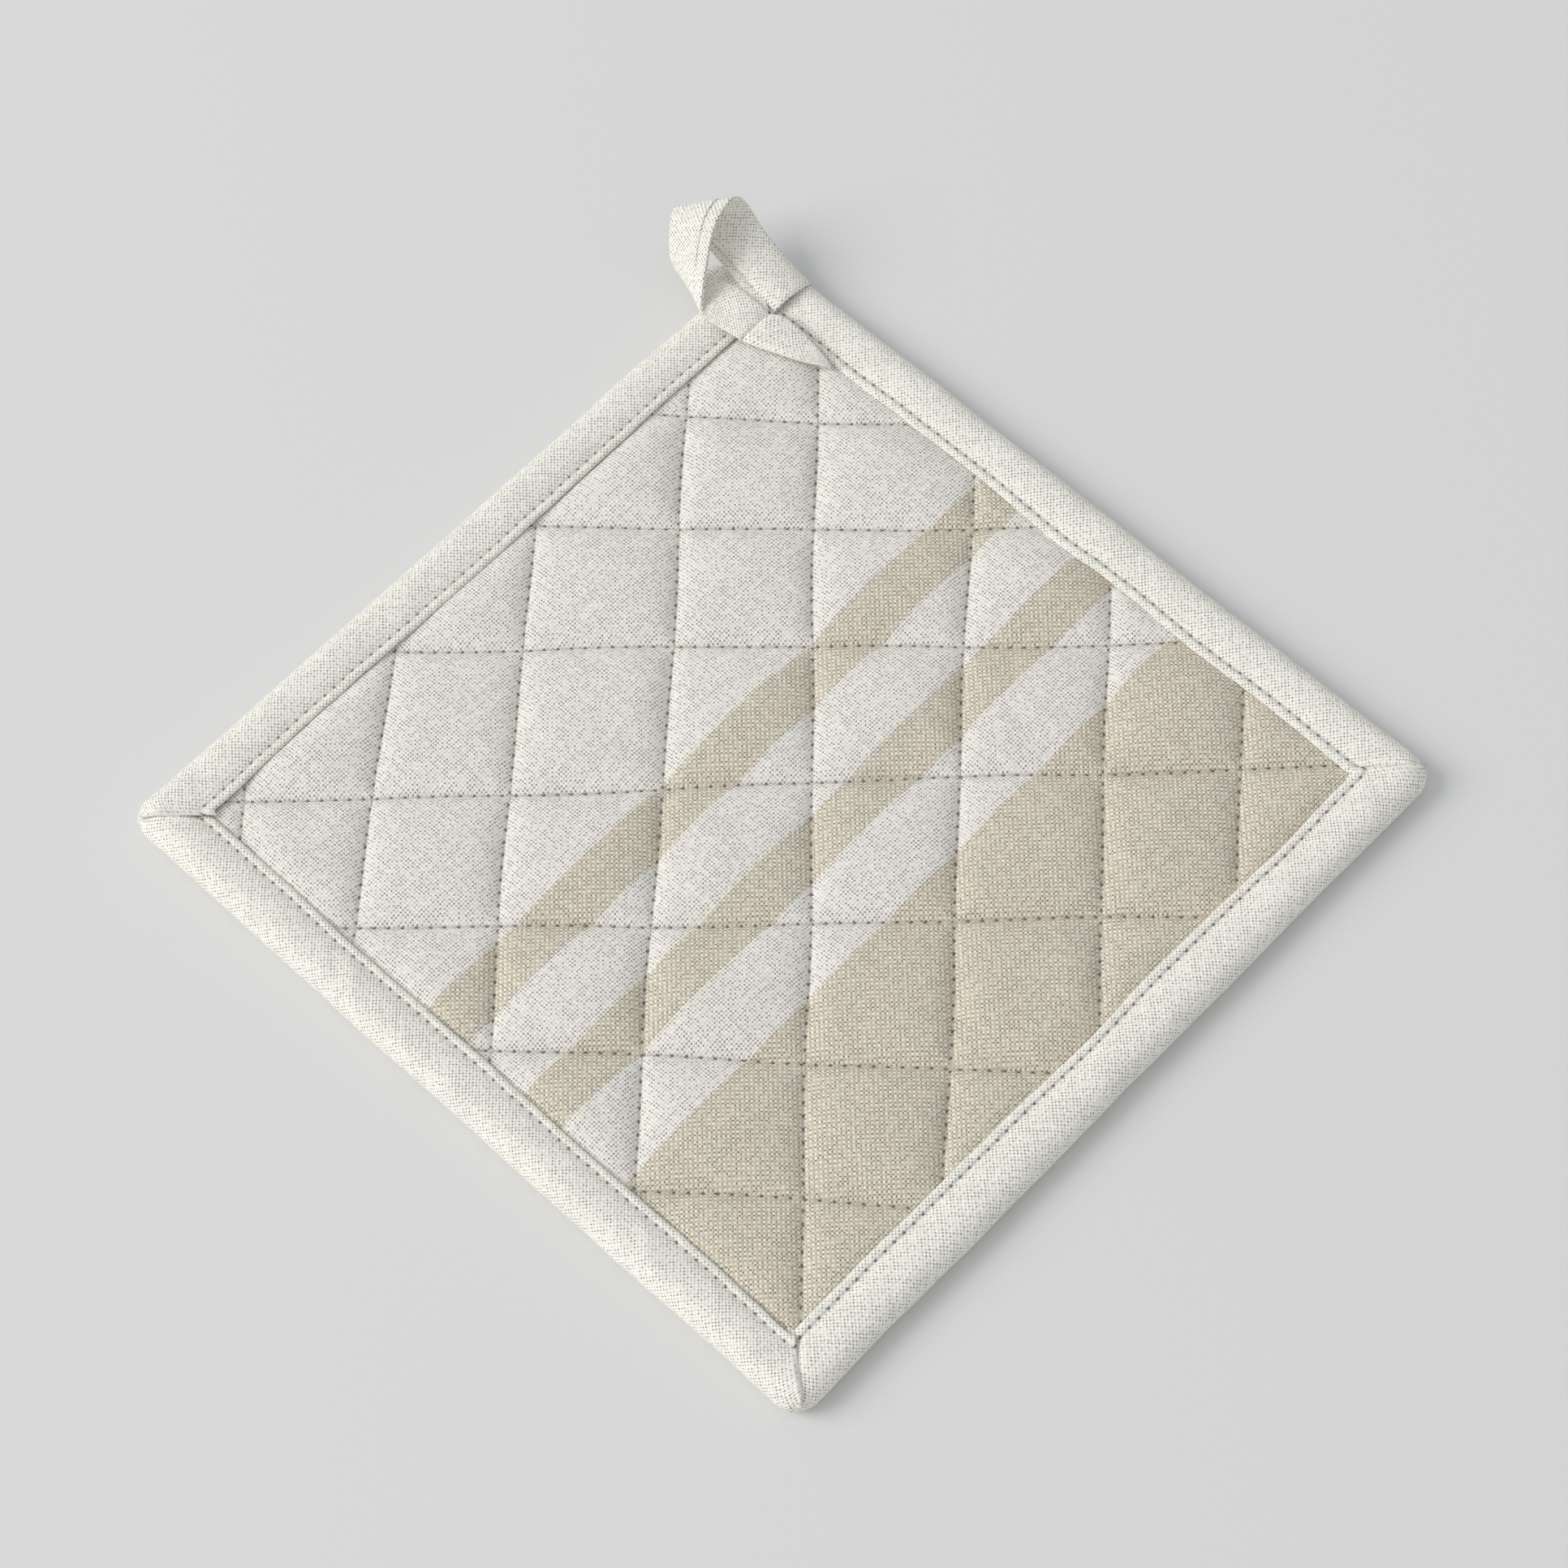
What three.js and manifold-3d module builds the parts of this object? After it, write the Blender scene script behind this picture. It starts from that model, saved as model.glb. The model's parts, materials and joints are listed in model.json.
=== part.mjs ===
// Quilted square pot holder: two cloth panels quilted over wadding, a bound edge,
// and a hanging loop made from the end of the binding tape.
// Millimetres, +Z up. It lies on its back panel, cornerwise, with the loop corner towards +Y.
// The origin is the middle of the whole object's footprint, on the surface it lies on.
// The lower half folds up over the upper half along the seam from the left to the right corner.

import * as THREE from 'three';
import { mergeVertices } from 'three/addons/utils/BufferGeometryUtils.js';
import Module from 'manifold-3d';

const wasm = await Module();
wasm.setup();

// ---- Driving dimensions ----

const SIDE = 200;
const CORNER_RADIUS = 6;
const PAD_CENTRE_Y = -6;
const GAP = 0.3;

const CLOTH = 0.6;
const CROWN_TOP = 8;
const VALLEY_TOP = 4.2;
const VALLEY_BOTTOM = 1.3;
const BRIM_TOP = 5.9;
const BRIM_BOTTOM = 2;
const SHOULDER = 6.4;

const BINDING_WIDTH = 12;
const BINDING_HEIGHT = 7.4;
const CHANNEL_DEPTH = 1.6;
const CHANNEL_LOW = 1.7;
const CHANNEL_HIGH = 6.2;
const EDGE_SLOPE_RUN = 4;

const FOLD_TOP_Y = -0.5;
const FOLD_BOTTOM_Y = FOLD_TOP_Y - GAP;
const MITRE_HALF_GAP = GAP / 2;

const THREAD_WIDTH = 0.5;
const THREAD_HEIGHT = 0.4;
const COLUMN_THREAD_Z = 4.7;
const ROW_THREAD_Z = 5.4;
const BOBBIN_THREAD_Z = 0.55;
const TOPSTITCH_INSET = 10.5;
const TOPSTITCH_Z = BINDING_HEIGHT + GAP;
const BACK_TOPSTITCH_Z = 0.1;

const TAPE_WIDTH = 11;
const TAPE_THICKNESS = 1.5;
const TAB_Z = 8.5;
const TAB_THICKNESS = 1.2;
const TACK_SETBACK = 14.5;
const LOOP_ROOT_CLEARANCE = 1.6;

// Each sewn line: where it crosses the pad's middle, and how far it leans per millimetre.
const ROWS = [
  { at: -93.7, lean: -0.1 },
  { at: -62.7, lean: -0.077 },
  { at: -30.7, lean: -0.023 },
  { at: 2.5, lean: 0 },
  { at: 36.4, lean: -0.03 },
  { at: 66.7, lean: -0.042 },
  { at: 95.2, lean: -0.1 },
];
const COLUMNS = [
  { at: -116.6, lean: 0.06 },
  { at: -88.2, lean: 0.12 },
  { at: -58.4, lean: 0.068 },
  { at: -25.8, lean: 0.071 },
  { at: 6.5, lean: 0.04 },
  { at: 38.5, lean: 0.078 },
  { at: 69.6, lean: 0.07 },
  { at: 98.4, lean: 0.086 },
];

const FAR = 170;
const DEEP = 30;
const half = SIDE / 2;
const cornerReach = half * Math.SQRT2;

const SIDES = {
  upper_right: { facing: Math.PI / 4 },
  upper_left: { facing: 3 * Math.PI / 4 },
  lower_left: { facing: 5 * Math.PI / 4 },
  lower_right: { facing: 7 * Math.PI / 4 },
};

// ---- Materials ----

function cloth(color, roughness = 0.95) {
  return new THREE.MeshStandardMaterial({ color, roughness, metalness: 0 });
}

const frontCloth = cloth(0xd9d5cb);
const backCloth = cloth(0xe2dfd8);
const waddingFelt = cloth(0xf0eee8, 1);
const bindingCloth = cloth(0xe6e3da);
const quiltingThread = cloth(0x8f867a, 0.8);
const bindingThread = cloth(0xa39c90, 0.8);

// ---- Solids ----

function solidFrom(geometry) {
  const bare = geometry.clone();
  for (const name of Object.keys(bare.attributes)) {
    if (name !== 'position') bare.deleteAttribute(name);
  }
  const merged = mergeVertices(bare, 1e-4);
  return new wasm.Manifold(new wasm.Mesh({
    numProp: 3,
    vertProperties: merged.attributes.position.array,
    triVerts: Uint32Array.from(merged.index.array),
  }));
}

function geometryFrom(solid) {
  const { vertProperties, triVerts } = solid.getMesh();
  const geometry = new THREE.BufferGeometry();
  geometry.setAttribute('position', new THREE.BufferAttribute(vertProperties, 3));
  geometry.setIndex(Array.from(triVerts));
  geometry.computeVertexNormals();
  return geometry;
}

function box(low, high) {
  const size = high.map((value, axis) => value - low[axis]);
  const geometry = new THREE.BoxGeometry(...size);
  return geometry.translate(...low.map((value, axis) => value + size[axis] / 2));
}

function prism(inset, radius, low, high) {
  const reach = (half - inset) * Math.SQRT2;
  const outline = new THREE.Shape();
  for (let k = 0; k < 4; k++) {
    const angle = k * Math.PI / 2;
    const tip = new THREE.Vector2(reach - radius * Math.SQRT2, 0);
    tip.rotateAround(new THREE.Vector2(), angle);
    if (radius > 0) {
      outline.absarc(tip.x, tip.y, radius, angle - Math.PI / 4, angle + Math.PI / 4, false);
    } else if (k === 0) {
      outline.moveTo(tip.x, tip.y);
    } else {
      outline.lineTo(tip.x, tip.y);
    }
  }
  const geometry = new THREE.ExtrudeGeometry(outline, {
    depth: high - low,
    bevelEnabled: false,
    curveSegments: 5,
  });
  return geometry.translate(0, 0, low);
}

function halfSpace(name) {
  return name === 'upper'
    ? box([-FAR, FOLD_TOP_Y, -DEEP], [FAR, FAR, DEEP])
    : box([-FAR, -FAR, -DEEP], [FAR, FOLD_BOTTOM_Y, DEEP]);
}

// ---- The quilted layers ----

// Lines across one direction of the quilting grid: each seam, and a shoulder on either side of it.
function gridLines(seams) {
  const lines = [{ at: -FAR, lean: 0, seam: false }];
  for (const seam of seams) {
    lines.push({ at: seam.at - SHOULDER, lean: seam.lean, seam: false });
    lines.push({ at: seam.at, lean: seam.lean, seam: true });
    lines.push({ at: seam.at + SHOULDER, lean: seam.lean, seam: false });
  }
  lines.push({ at: FAR, lean: 0, seam: false });
  return lines;
}

function crossing(column, row) {
  const x = (column.at + column.lean * row.at) / (1 - column.lean * row.lean);
  return new THREE.Vector2(x, row.at + row.lean * x);
}

// A solid over the whole quilting grid, between two height rules that see whether a point is sewn.
function quiltedSolid(lowAt, highAt) {
  const columns = gridLines(COLUMNS);
  const rows = gridLines(ROWS);
  const positions = [];
  const faces = [];
  const layer = columns.length * rows.length;
  for (const heightAt of [lowAt, highAt]) {
    for (const row of rows) {
      for (const column of columns) {
        const point = crossing(column, row);
        positions.push(point.x, point.y, heightAt(row.seam || column.seam));
      }
    }
  }
  const quad = (a, b, c, d) => faces.push(a, b, c, a, c, d);
  const index = (i, j) => j * columns.length + i;
  const lastColumn = columns.length - 1;
  const lastRow = rows.length - 1;
  for (let j = 0; j < lastRow; j++) {
    for (let i = 0; i < lastColumn; i++) {
      const [a, b, c, d] = [index(i, j), index(i + 1, j), index(i + 1, j + 1), index(i, j + 1)];
      quad(a, d, c, b);
      quad(a + layer, b + layer, c + layer, d + layer);
    }
  }
  for (let i = 0; i < lastColumn; i++) {
    const [a, b] = [index(i, 0), index(i + 1, 0)];
    const [c, d] = [index(i, lastRow), index(i + 1, lastRow)];
    quad(a, b, b + layer, a + layer);
    quad(d, c, c + layer, d + layer);
  }
  for (let j = 0; j < lastRow; j++) {
    const [a, b] = [index(0, j), index(0, j + 1)];
    const [c, d] = [index(lastColumn, j), index(lastColumn, j + 1)];
    quad(b, a, a + layer, b + layer);
    quad(c, d, d + layer, c + layer);
  }
  const geometry = new THREE.BufferGeometry();
  geometry.setAttribute('position', new THREE.Float32BufferAttribute(positions, 3));
  geometry.setIndex(faces);
  return solidFrom(geometry);
}

// A four-sided frustum with its corners on the X and Y axes, from one height to another.
function frustum(lowInset, highInset, low, high) {
  const lowReach = (half - lowInset) * Math.SQRT2;
  const highReach = (half - highInset) * Math.SQRT2;
  const geometry = new THREE.CylinderGeometry(highReach, lowReach, high - low, 4);
  return geometry.rotateX(Math.PI / 2).translate(0, 0, (low + high) / 2);
}

const layerInset = CHANNEL_DEPTH + GAP;
const rampFoot = BINDING_WIDTH + GAP;

// Everything below the padding's upper surface, lowered by an offset.
// A cutting tool spreads past the layers' edges, so that it leaves no skin there.
function belowTop(offset, spread = 0) {
  const floor = -DEEP - spread;
  const brim = BRIM_TOP - offset;
  const top = CROWN_TOP + 1 - offset;
  const run = EDGE_SLOPE_RUN * (top - brim) / (CROWN_TOP - BRIM_TOP);
  const padding = quiltedSolid(() => floor, (sewn) => (sewn ? VALLEY_TOP : CROWN_TOP) - offset);
  const flange = solidFrom(layerPrism(spread, floor, brim));
  const ramp = solidFrom(frustum(rampFoot - run, rampFoot + run, 2 * brim - top, top));
  return padding.intersect(flange.add(ramp));
}

// Everything above the padding's lower surface, raised by an offset.
function aboveBottom(offset, spread = 0) {
  const ceiling = DEEP + spread;
  const brim = BRIM_BOTTOM + offset;
  const foot = offset - 1;
  const run = EDGE_SLOPE_RUN * (brim - foot) / BRIM_BOTTOM;
  const padding = quiltedSolid((sewn) => (sewn ? VALLEY_BOTTOM : 0) + offset, () => ceiling);
  const flange = solidFrom(layerPrism(spread, brim, ceiling));
  const ramp = solidFrom(frustum(rampFoot + run, rampFoot - run, foot, 2 * brim - foot));
  return padding.intersect(flange.add(ramp));
}

function layerPrism(spread, low, high) {
  return prism(layerInset - spread, CORNER_RADIUS - layerInset + spread, low, high);
}

const frontShell = belowTop(0).subtract(belowTop(CLOTH, 1));
const backShell = aboveBottom(0).subtract(aboveBottom(CLOTH, 1));
const filling = belowTop(CLOTH + GAP).intersect(aboveBottom(CLOTH + GAP));

// ---- The binding ----

// The folded tape's section: first coordinate inwards from the pad's edge, second upwards.
function bindingSection() {
  const outline = new THREE.Shape();
  outline.moveTo(BINDING_WIDTH, CHANNEL_HIGH);
  outline.lineTo(BINDING_WIDTH, BINDING_HEIGHT - 0.5);
  outline.lineTo(BINDING_WIDTH - 0.7, BINDING_HEIGHT);
  outline.lineTo(3.2, BINDING_HEIGHT);
  outline.quadraticCurveTo(0, BINDING_HEIGHT, 0, 4.2);
  outline.lineTo(0, 2.8);
  outline.quadraticCurveTo(0, 0, 2.8, 0);
  outline.lineTo(BINDING_WIDTH - 3.4, 0);
  outline.lineTo(BINDING_WIDTH - 2.8, 0.8);
  outline.lineTo(BINDING_WIDTH, 0.8);
  outline.lineTo(BINDING_WIDTH, CHANNEL_LOW);
  outline.lineTo(CHANNEL_DEPTH, CHANNEL_LOW);
  outline.lineTo(CHANNEL_DEPTH, CHANNEL_HIGH);
  outline.closePath();
  return outline;
}

// Turns a shape drawn as (inwards, up, along) into pad coordinates for one side.
function sideMatrix(facing) {
  const inwards = new THREE.Vector3(-Math.cos(facing), -Math.sin(facing), 0);
  const up = new THREE.Vector3(0, 0, 1);
  const along = new THREE.Vector3().crossVectors(inwards, up);
  return new THREE.Matrix4().makeBasis(inwards, up, along).setPosition(inwards.clone().multiplyScalar(-half));
}

// How far each run reaches from its side's middle, against and with its direction.
const cornerEnd = half - 2 * GAP;
const buttEnd = half - BINDING_WIDTH - GAP;
const RUNS = {
  upper_right: { start: -half, end: cornerEnd },
  upper_left: { start: -buttEnd, end: half },
  lower_left: { start: -half, end: half },
  lower_right: { start: -half, end: half },
};

function bindingRun(name) {
  const { start, end } = RUNS[name];
  const geometry = new THREE.ExtrudeGeometry(bindingSection(), {
    depth: end - start,
    bevelEnabled: false,
    curveSegments: 4,
  });
  geometry.translate(0, 0, start).applyMatrix4(sideMatrix(SIDES[name].facing));
  let run = solidFrom(geometry).intersect(solidFrom(prism(0, CORNER_RADIUS, -DEEP, DEEP)));
  run = run.intersect(solidFrom(halfSpace(name.split('_')[0])));
  if (name === 'lower_left') {
    run = run.intersect(solidFrom(box([-FAR, -FAR, -DEEP], [-MITRE_HALF_GAP, FAR, DEEP])));
  }
  if (name === 'lower_right') {
    run = run.intersect(solidFrom(box([MITRE_HALF_GAP, -FAR, -DEEP], [FAR, FAR, DEEP])));
  }
  return run;
}

// A straight stitched thread along one side of the binding.
function sideThread(name, height) {
  const { start, end } = RUNS[name];
  const corner = half - TOPSTITCH_INSET - 2 * GAP - THREAD_WIDTH;
  const low = Math.max(start, -corner);
  const high = Math.min(end - GAP, name === 'upper_right' ? half : corner);
  const geometry = box(
    [TOPSTITCH_INSET - THREAD_WIDTH / 2, height, low],
    [TOPSTITCH_INSET + THREAD_WIDTH / 2, height + THREAD_HEIGHT, high],
  );
  return geometry.applyMatrix4(sideMatrix(SIDES[name].facing));
}

// ---- Quilting threads ----

// The two ends of a sewn line inside the square where |x| + |y| = reach.
function lineEnds(line, reach, isColumn) {
  const ends = [-1, 1].map((sign) => {
    const lean = line.lean * sign * Math.sign(line.at || 1);
    const run = (reach - Math.abs(line.at)) / (1 + lean);
    return [sign * run, line.at + line.lean * sign * run];
  });
  return ends.map(([along, across]) => (
    isColumn ? new THREE.Vector2(across, along) : new THREE.Vector2(along, across)
  ));
}

function clipColumn(ends, halfName) {
  const [low, high] = ends;
  const pointAt = (y) => low.clone().lerp(high, (y - low.y) / (high.y - low.y));
  return halfName === 'upper' ? [pointAt(0), high] : [low, pointAt(FOLD_BOTTOM_Y - GAP)];
}

function threadBar([start, end], height) {
  const length = start.distanceTo(end);
  const middle = start.clone().lerp(end, 0.5);
  const geometry = new THREE.BoxGeometry(length, THREAD_WIDTH, THREAD_HEIGHT);
  geometry.rotateZ(Math.atan2(end.y - start.y, end.x - start.x));
  return geometry.translate(middle.x, middle.y, height + THREAD_HEIGHT / 2);
}

const needleReach = (half - BINDING_WIDTH + 1) * Math.SQRT2;
const bobbinReach = (half - BINDING_WIDTH - GAP) * Math.SQRT2;

// The bobbin thread under one half: its rows, and each column that meets one of them.
function bobbinNet(halfName) {
  const rows = ROWS.filter((row) => (halfName === 'upper' ? row.at >= 0 : row.at < 0));
  const crosses = (column) => rows.some((row) => {
    const point = crossing(column, row);
    return Math.abs(point.x) + Math.abs(point.y) < bobbinReach - 1;
  });
  const bars = rows.map((row) => lineEnds(row, bobbinReach, false));
  for (const column of COLUMNS.filter(crosses)) {
    bars.push(clipColumn(lineEnds(column, bobbinReach, true), halfName));
  }
  const solids = bars.map((ends) => solidFrom(threadBar(ends, BOBBIN_THREAD_Z)));
  return solids.reduce((net, bar) => net.add(bar));
}

// ---- The hanging loop ----

// In the loop's own group: x runs on past the corner along the upper right side,
// y runs inwards across the tape, z is up.
const LOOP_PATH = [
  [1.3, 5.8, 8.1],
  [5, 6.2, 12],
  [9, 7, 16.5],
  [13, 8, 18.8],
  [16.6, 9.5, 16.8],
  [17.8, 11.5, 12],
  [15.5, 13.8, 7.4],
  [11, 15.6, 5.4],
  [6, 17, 6],
  [1.3, 17.6, 9.1],
];
const LOOP_STEPS = 30;

// A strip of tape along a path: its width stays level, its thickness turns with the path.
function loopTape() {
  const path = new THREE.CatmullRomCurve3(LOOP_PATH.map((point) => new THREE.Vector3(...point)));
  const positions = [];
  const faces = [];
  for (let step = 0; step <= LOOP_STEPS; step++) {
    const centre = path.getPoint(step / LOOP_STEPS);
    const tangent = path.getTangent(step / LOOP_STEPS);
    const normal = new THREE.Vector3(-tangent.z, 0, tangent.x).normalize();
    for (const [across, out] of [[-1, -1], [1, -1], [1, 1], [-1, 1]]) {
      const corner = centre.clone().addScaledVector(normal, out * TAPE_THICKNESS / 2);
      positions.push(corner.x, corner.y + across * TAPE_WIDTH / 2, corner.z);
    }
  }
  const quad = (a, b, c, d) => faces.push(a, b, c, a, c, d);
  for (let step = 0; step < LOOP_STEPS; step++) {
    for (let k = 0; k < 4; k++) {
      const [a, b] = [step * 4 + k, step * 4 + (k + 1) % 4];
      quad(a, b, b + 4, a + 4);
    }
  }
  const last = LOOP_STEPS * 4;
  quad(3, 2, 1, 0);
  quad(last, last + 1, last + 2, last + 3);
  const geometry = new THREE.BufferGeometry();
  geometry.setAttribute('position', new THREE.Float32BufferAttribute(positions, 3));
  geometry.setIndex(faces);
  geometry.computeVertexNormals();
  return geometry;
}

// The tape's sewn-down end: it lies over the corner and tapers to a folded point.
function loopEnd() {
  const outer = BINDING_WIDTH + 2 * GAP;
  const inner = outer + TAPE_WIDTH - 0.5;
  const outline = new THREE.Shape();
  outline.moveTo(-LOOP_ROOT_CLEARANCE, outer);
  outline.lineTo(-LOOP_ROOT_CLEARANCE, inner);
  outline.lineTo(-TACK_SETBACK, inner);
  outline.quadraticCurveTo(-24, inner - 2, -33, outer + 1.5);
  outline.lineTo(-33, outer);
  outline.closePath();
  const geometry = new THREE.ExtrudeGeometry(outline, {
    depth: TAB_THICKNESS,
    bevelEnabled: false,
    curveSegments: 5,
  });
  return geometry.translate(0, 0, TAB_Z);
}

// The tack seam's thread: across the binding, up one tape's thickness, and across the tape's end.
function tackThread() {
  const lowZ = BINDING_HEIGHT + 3 * GAP;
  const highZ = TAB_Z + TAB_THICKNESS + GAP;
  const step = BINDING_WIDTH;
  const outline = new THREE.Shape([
    new THREE.Vector2(2, lowZ),
    new THREE.Vector2(step, lowZ),
    new THREE.Vector2(step, highZ),
    new THREE.Vector2(BINDING_WIDTH + TAPE_WIDTH, highZ),
    new THREE.Vector2(BINDING_WIDTH + TAPE_WIDTH, highZ + THREAD_HEIGHT),
    new THREE.Vector2(step - THREAD_WIDTH, highZ + THREAD_HEIGHT),
    new THREE.Vector2(step - THREAD_WIDTH, lowZ + THREAD_HEIGHT),
    new THREE.Vector2(2, lowZ + THREAD_HEIGHT),
  ]);
  const geometry = new THREE.ExtrudeGeometry(outline, { depth: THREAD_WIDTH, bevelEnabled: false });
  const across = new THREE.Vector3(0, 1, 0);
  const up = new THREE.Vector3(0, 0, 1);
  const along = new THREE.Vector3(1, 0, 0);
  return geometry.applyMatrix4(new THREE.Matrix4().makeBasis(across, up, along))
    .translate(-TACK_SETBACK, 0, 0);
}

// ---- The assembly ----

const potHolder = new THREE.Group();
const pad = new THREE.Group();
pad.position.y = PAD_CENTRE_Y;
potHolder.add(pad);

const loopCorner = new THREE.Group();
loopCorner.position.y = cornerReach;
loopCorner.rotation.z = 3 * Math.PI / 4;
pad.add(loopCorner);

function place(group, name, geometry, material) {
  const mesh = new THREE.Mesh(geometry, material);
  mesh.name = name;
  group.add(mesh);
}

for (const halfName of ['upper', 'lower']) {
  const kept = solidFrom(halfSpace(halfName));
  place(pad, `front_panel_${halfName}`, geometryFrom(frontShell.intersect(kept)), frontCloth);
  place(pad, `wadding_${halfName}`, geometryFrom(filling.intersect(kept)), waddingFelt);
  place(pad, `back_panel_${halfName}`, geometryFrom(backShell.intersect(kept)), backCloth);
  place(pad, `bobbin_threads_${halfName}`, geometryFrom(bobbinNet(halfName)), quiltingThread);
}

for (const name of Object.keys(SIDES)) {
  place(pad, `binding_${name}`, geometryFrom(bindingRun(name)), bindingCloth);
  place(pad, `binding_thread_front_${name}`, sideThread(name, TOPSTITCH_Z), bindingThread);
  place(pad, `binding_thread_back_${name}`, sideThread(name, BACK_TOPSTITCH_Z), bindingThread);
}

ROWS.forEach((row, k) => {
  const bar = threadBar(lineEnds(row, needleReach, false), ROW_THREAD_Z);
  place(pad, `quilting_thread_row_${k + 1}`, bar, quiltingThread);
});

COLUMNS.forEach((column, k) => {
  for (const halfName of ['upper', 'lower']) {
    const ends = clipColumn(lineEnds(column, needleReach, true), halfName);
    place(pad, `quilting_thread_column_${k + 1}_${halfName}`, threadBar(ends, COLUMN_THREAD_Z), quiltingThread);
  }
});

place(loopCorner, 'hanging_loop', loopTape(), bindingCloth);
place(loopCorner, 'loop_end_tab', loopEnd(), bindingCloth);
place(loopCorner, 'loop_tack_thread', tackThread(), bindingThread);

export default potHolder;
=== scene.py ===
"""A square quilted pot holder lying cornerwise: two cloth panels quilted over wadding, a bias-cut binding
sewn round the edge, and a hanging loop made from the end of the binding tape.

Lengths are in millimetres in the pad's own frame (origin in the middle of the pad) until world() turns
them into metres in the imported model's frame.
"""

import json
import math

import bmesh
import bpy
import numpy as np
from mathutils import Matrix, Vector

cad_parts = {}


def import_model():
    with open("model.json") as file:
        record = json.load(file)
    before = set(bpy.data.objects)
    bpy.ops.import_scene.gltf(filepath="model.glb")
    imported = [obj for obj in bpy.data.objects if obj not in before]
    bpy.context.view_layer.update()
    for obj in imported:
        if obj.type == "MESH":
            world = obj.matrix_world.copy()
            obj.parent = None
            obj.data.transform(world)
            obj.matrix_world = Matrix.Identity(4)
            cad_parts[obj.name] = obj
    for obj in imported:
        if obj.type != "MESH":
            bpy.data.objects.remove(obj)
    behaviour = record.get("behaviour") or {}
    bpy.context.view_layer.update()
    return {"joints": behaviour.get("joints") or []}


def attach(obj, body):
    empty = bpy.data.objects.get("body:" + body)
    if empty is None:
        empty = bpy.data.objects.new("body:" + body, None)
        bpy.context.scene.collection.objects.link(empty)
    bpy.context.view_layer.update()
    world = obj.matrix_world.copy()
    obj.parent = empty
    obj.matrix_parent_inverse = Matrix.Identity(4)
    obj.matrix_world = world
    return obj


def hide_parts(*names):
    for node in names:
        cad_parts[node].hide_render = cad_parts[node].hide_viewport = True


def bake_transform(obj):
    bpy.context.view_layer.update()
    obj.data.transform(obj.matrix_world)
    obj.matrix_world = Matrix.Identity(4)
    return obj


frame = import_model()

# ---- Dimensions, in millimetres ----

JOINTS = {joint["name"]: joint for joint in frame["joints"]}
FOLD_Y = JOINTS["fold"]["pos_m"][1] * 1000
FOLD_BELOW_MIDDLE = 0.65
PAD_Y = FOLD_Y + FOLD_BELOW_MIDDLE
HALF_SIDE = 100
ROOT2 = math.sqrt(2)

# Sewn lines: where each crosses the pad's middle, and how far it leans per millimetre.
ROWS = [
    (-93.7, -0.1), (-62.7, -0.077), (-30.7, -0.023), (2.5, 0), (36.4, -0.03), (66.7, -0.042), (95.2, -0.1),
]
COLUMNS = [
    (-116.6, 0.06), (-88.2, 0.12), (-58.4, 0.068), (-25.8, 0.071),
    (6.5, 0.04), (38.5, 0.078), (69.6, 0.07), (98.4, 0.086),
]
OUTER_ROWS = ((-125, -0.1), (125, -0.1))
OUTER_COLUMNS = ((-147, 0.08), (131, 0.1))
STITCH_PITCH = 3.0

CLOTH = 0.5
PANEL_INSET = 3.6
VALLEY_TOP = 4.5
CROWN_TOP = 7.5
TUCK_TOP = 5.0
TUCK_INSET = 12.4
TUCK_REACH = 2.2
BACK_SEAM = 1.3
BACK_TUCK = 1.5
WADDING_TOP = 3.3
WADDING_BOTTOM = 2.3
THIN_EDGE = 7
SEAM_REACH = 2.3
PUCKER_REACH = 3.4
NEAR_SEAM_SHARE = 0.56

FRONT_GRID = 32
BACK_GRID = 22
WADDING_GRID = 10
GRID_PASSES = 12
CUT_MARGIN = 4


# ---- Small tools ----


def smooth(t):
    t = np.clip(t, 0, 1)
    return t * t * (3 - 2 * t)


def noise(x, y, cell, seed):
    """Smooth value noise from -1 to 1 over a lattice of that cell size."""
    table = np.random.default_rng(seed).uniform(-1, 1, (64, 64))
    gx, gy = np.broadcast_arrays(np.asarray(x, float) / cell, np.asarray(y, float) / cell)
    ix, iy = np.floor(gx).astype(int), np.floor(gy).astype(int)
    fx, fy = smooth(gx - ix), smooth(gy - iy)
    low = table[ix % 64, iy % 64] * (1 - fx) + table[(ix + 1) % 64, iy % 64] * fx
    high = table[ix % 64, (iy + 1) % 64] * (1 - fx) + table[(ix + 1) % 64, (iy + 1) % 64] * fx
    return low * (1 - fy) + high * fy


def world(points):
    """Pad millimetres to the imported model's metres."""
    points = np.asarray(points, float).reshape(-1, 3)
    return (points + (0, PAD_Y, 0)) / 1000


def mesh_object(name, points, faces, attributes=()):
    mesh = bpy.data.meshes.new(name)
    mesh.from_pydata(world(points).tolist(), [], faces)
    mesh.polygons.foreach_set("use_smooth", [True] * len(mesh.polygons))
    for key, values in attributes:
        values = np.asarray(values, np.float32)
        kind = "FLOAT" if values.ndim == 1 else "FLOAT_VECTOR"
        field = "value" if values.ndim == 1 else "vector"
        mesh.attributes.new(key, kind, "POINT").data.foreach_set(field, values.ravel())
    mesh.validate()
    thing = bpy.data.objects.new(name, mesh)
    bpy.context.scene.collection.objects.link(thing)
    return thing


def grid_faces(rows, columns, closed_columns, offset=0):
    """Quads over rows x columns of points, the columns joined into rings where closed."""
    last = columns if closed_columns else columns - 1
    i, j = np.meshgrid(np.arange(rows - 1), np.arange(last), indexing="ij")
    k = (j + 1) % columns
    quads = np.stack([i * columns + j, i * columns + k, (i + 1) * columns + k, (i + 1) * columns + j], -1)
    return (quads.reshape(-1, 4) + offset).tolist()


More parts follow.
